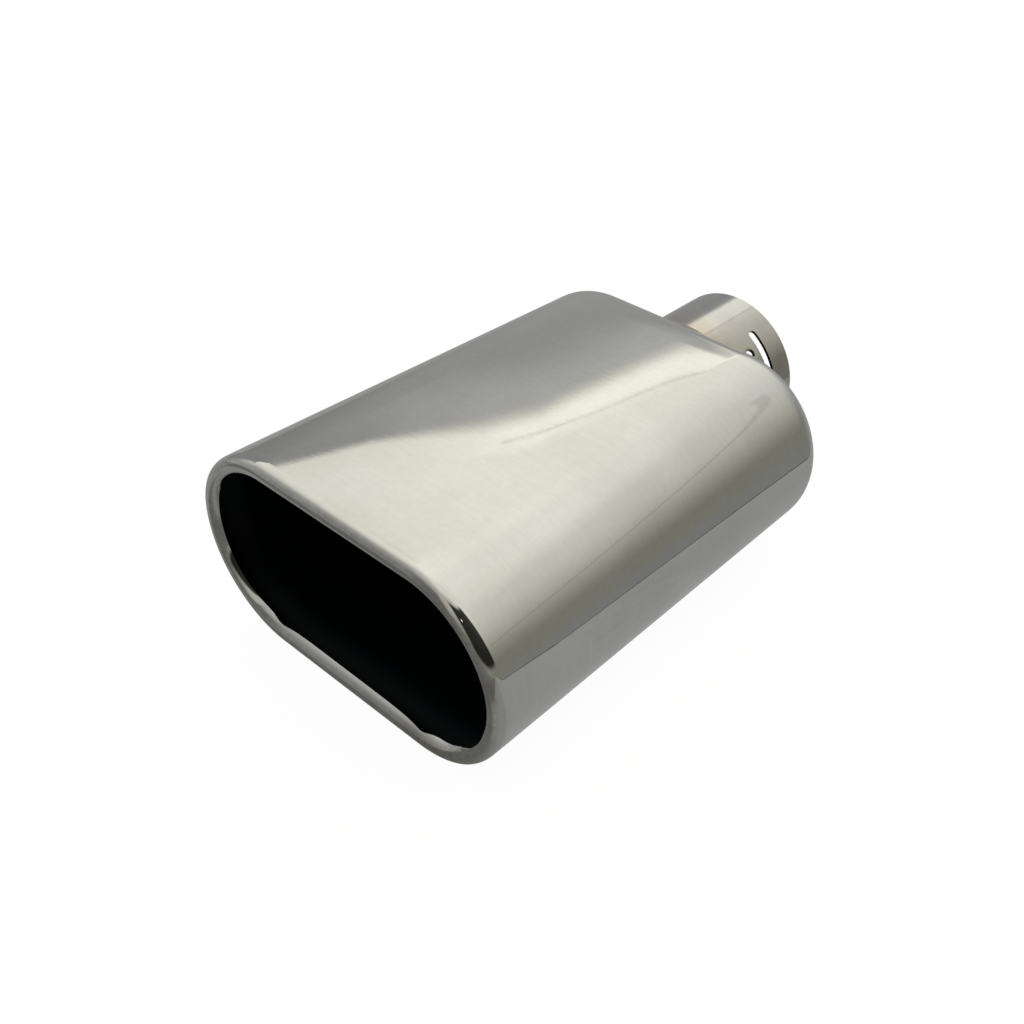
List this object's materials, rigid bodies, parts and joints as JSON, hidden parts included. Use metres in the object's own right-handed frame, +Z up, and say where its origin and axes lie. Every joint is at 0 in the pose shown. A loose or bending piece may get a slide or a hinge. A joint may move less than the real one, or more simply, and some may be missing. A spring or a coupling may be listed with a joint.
{
  "type": "exhaust tip",
  "caption": "Flat-oval exhaust tip of polished stainless steel with a rolled lip and a black coated inside, welded to a short round inlet tube with a slot and a screw hole.",
  "frame": {"origin": "centre of the inlet tube's open end, on the tube's axis", "axes": "+Y out of the inlet along the tube's axis, +Z up, +X to the right along the wide side of the oval; the outlet faces -Y"},
  "size_m": [0.15, 0.214, 0.078],
  "materials": {
    "polished_steel": "polished stainless steel with fine brush marks and faint clouding",
    "tube_steel": "satin stainless steel with a light heat tint by the weld",
    "weld_steel": "as-welded bead, lightly tinted",
    "black_coating": "matt black heat-resistant coating on the inside of the shell"
  },
  "bodies": {
    "root": {"outer_shell": "polished_steel", "inlet_tube": "tube_steel", "tube_weld": "weld_steel"}
  },
  "joints": []
}
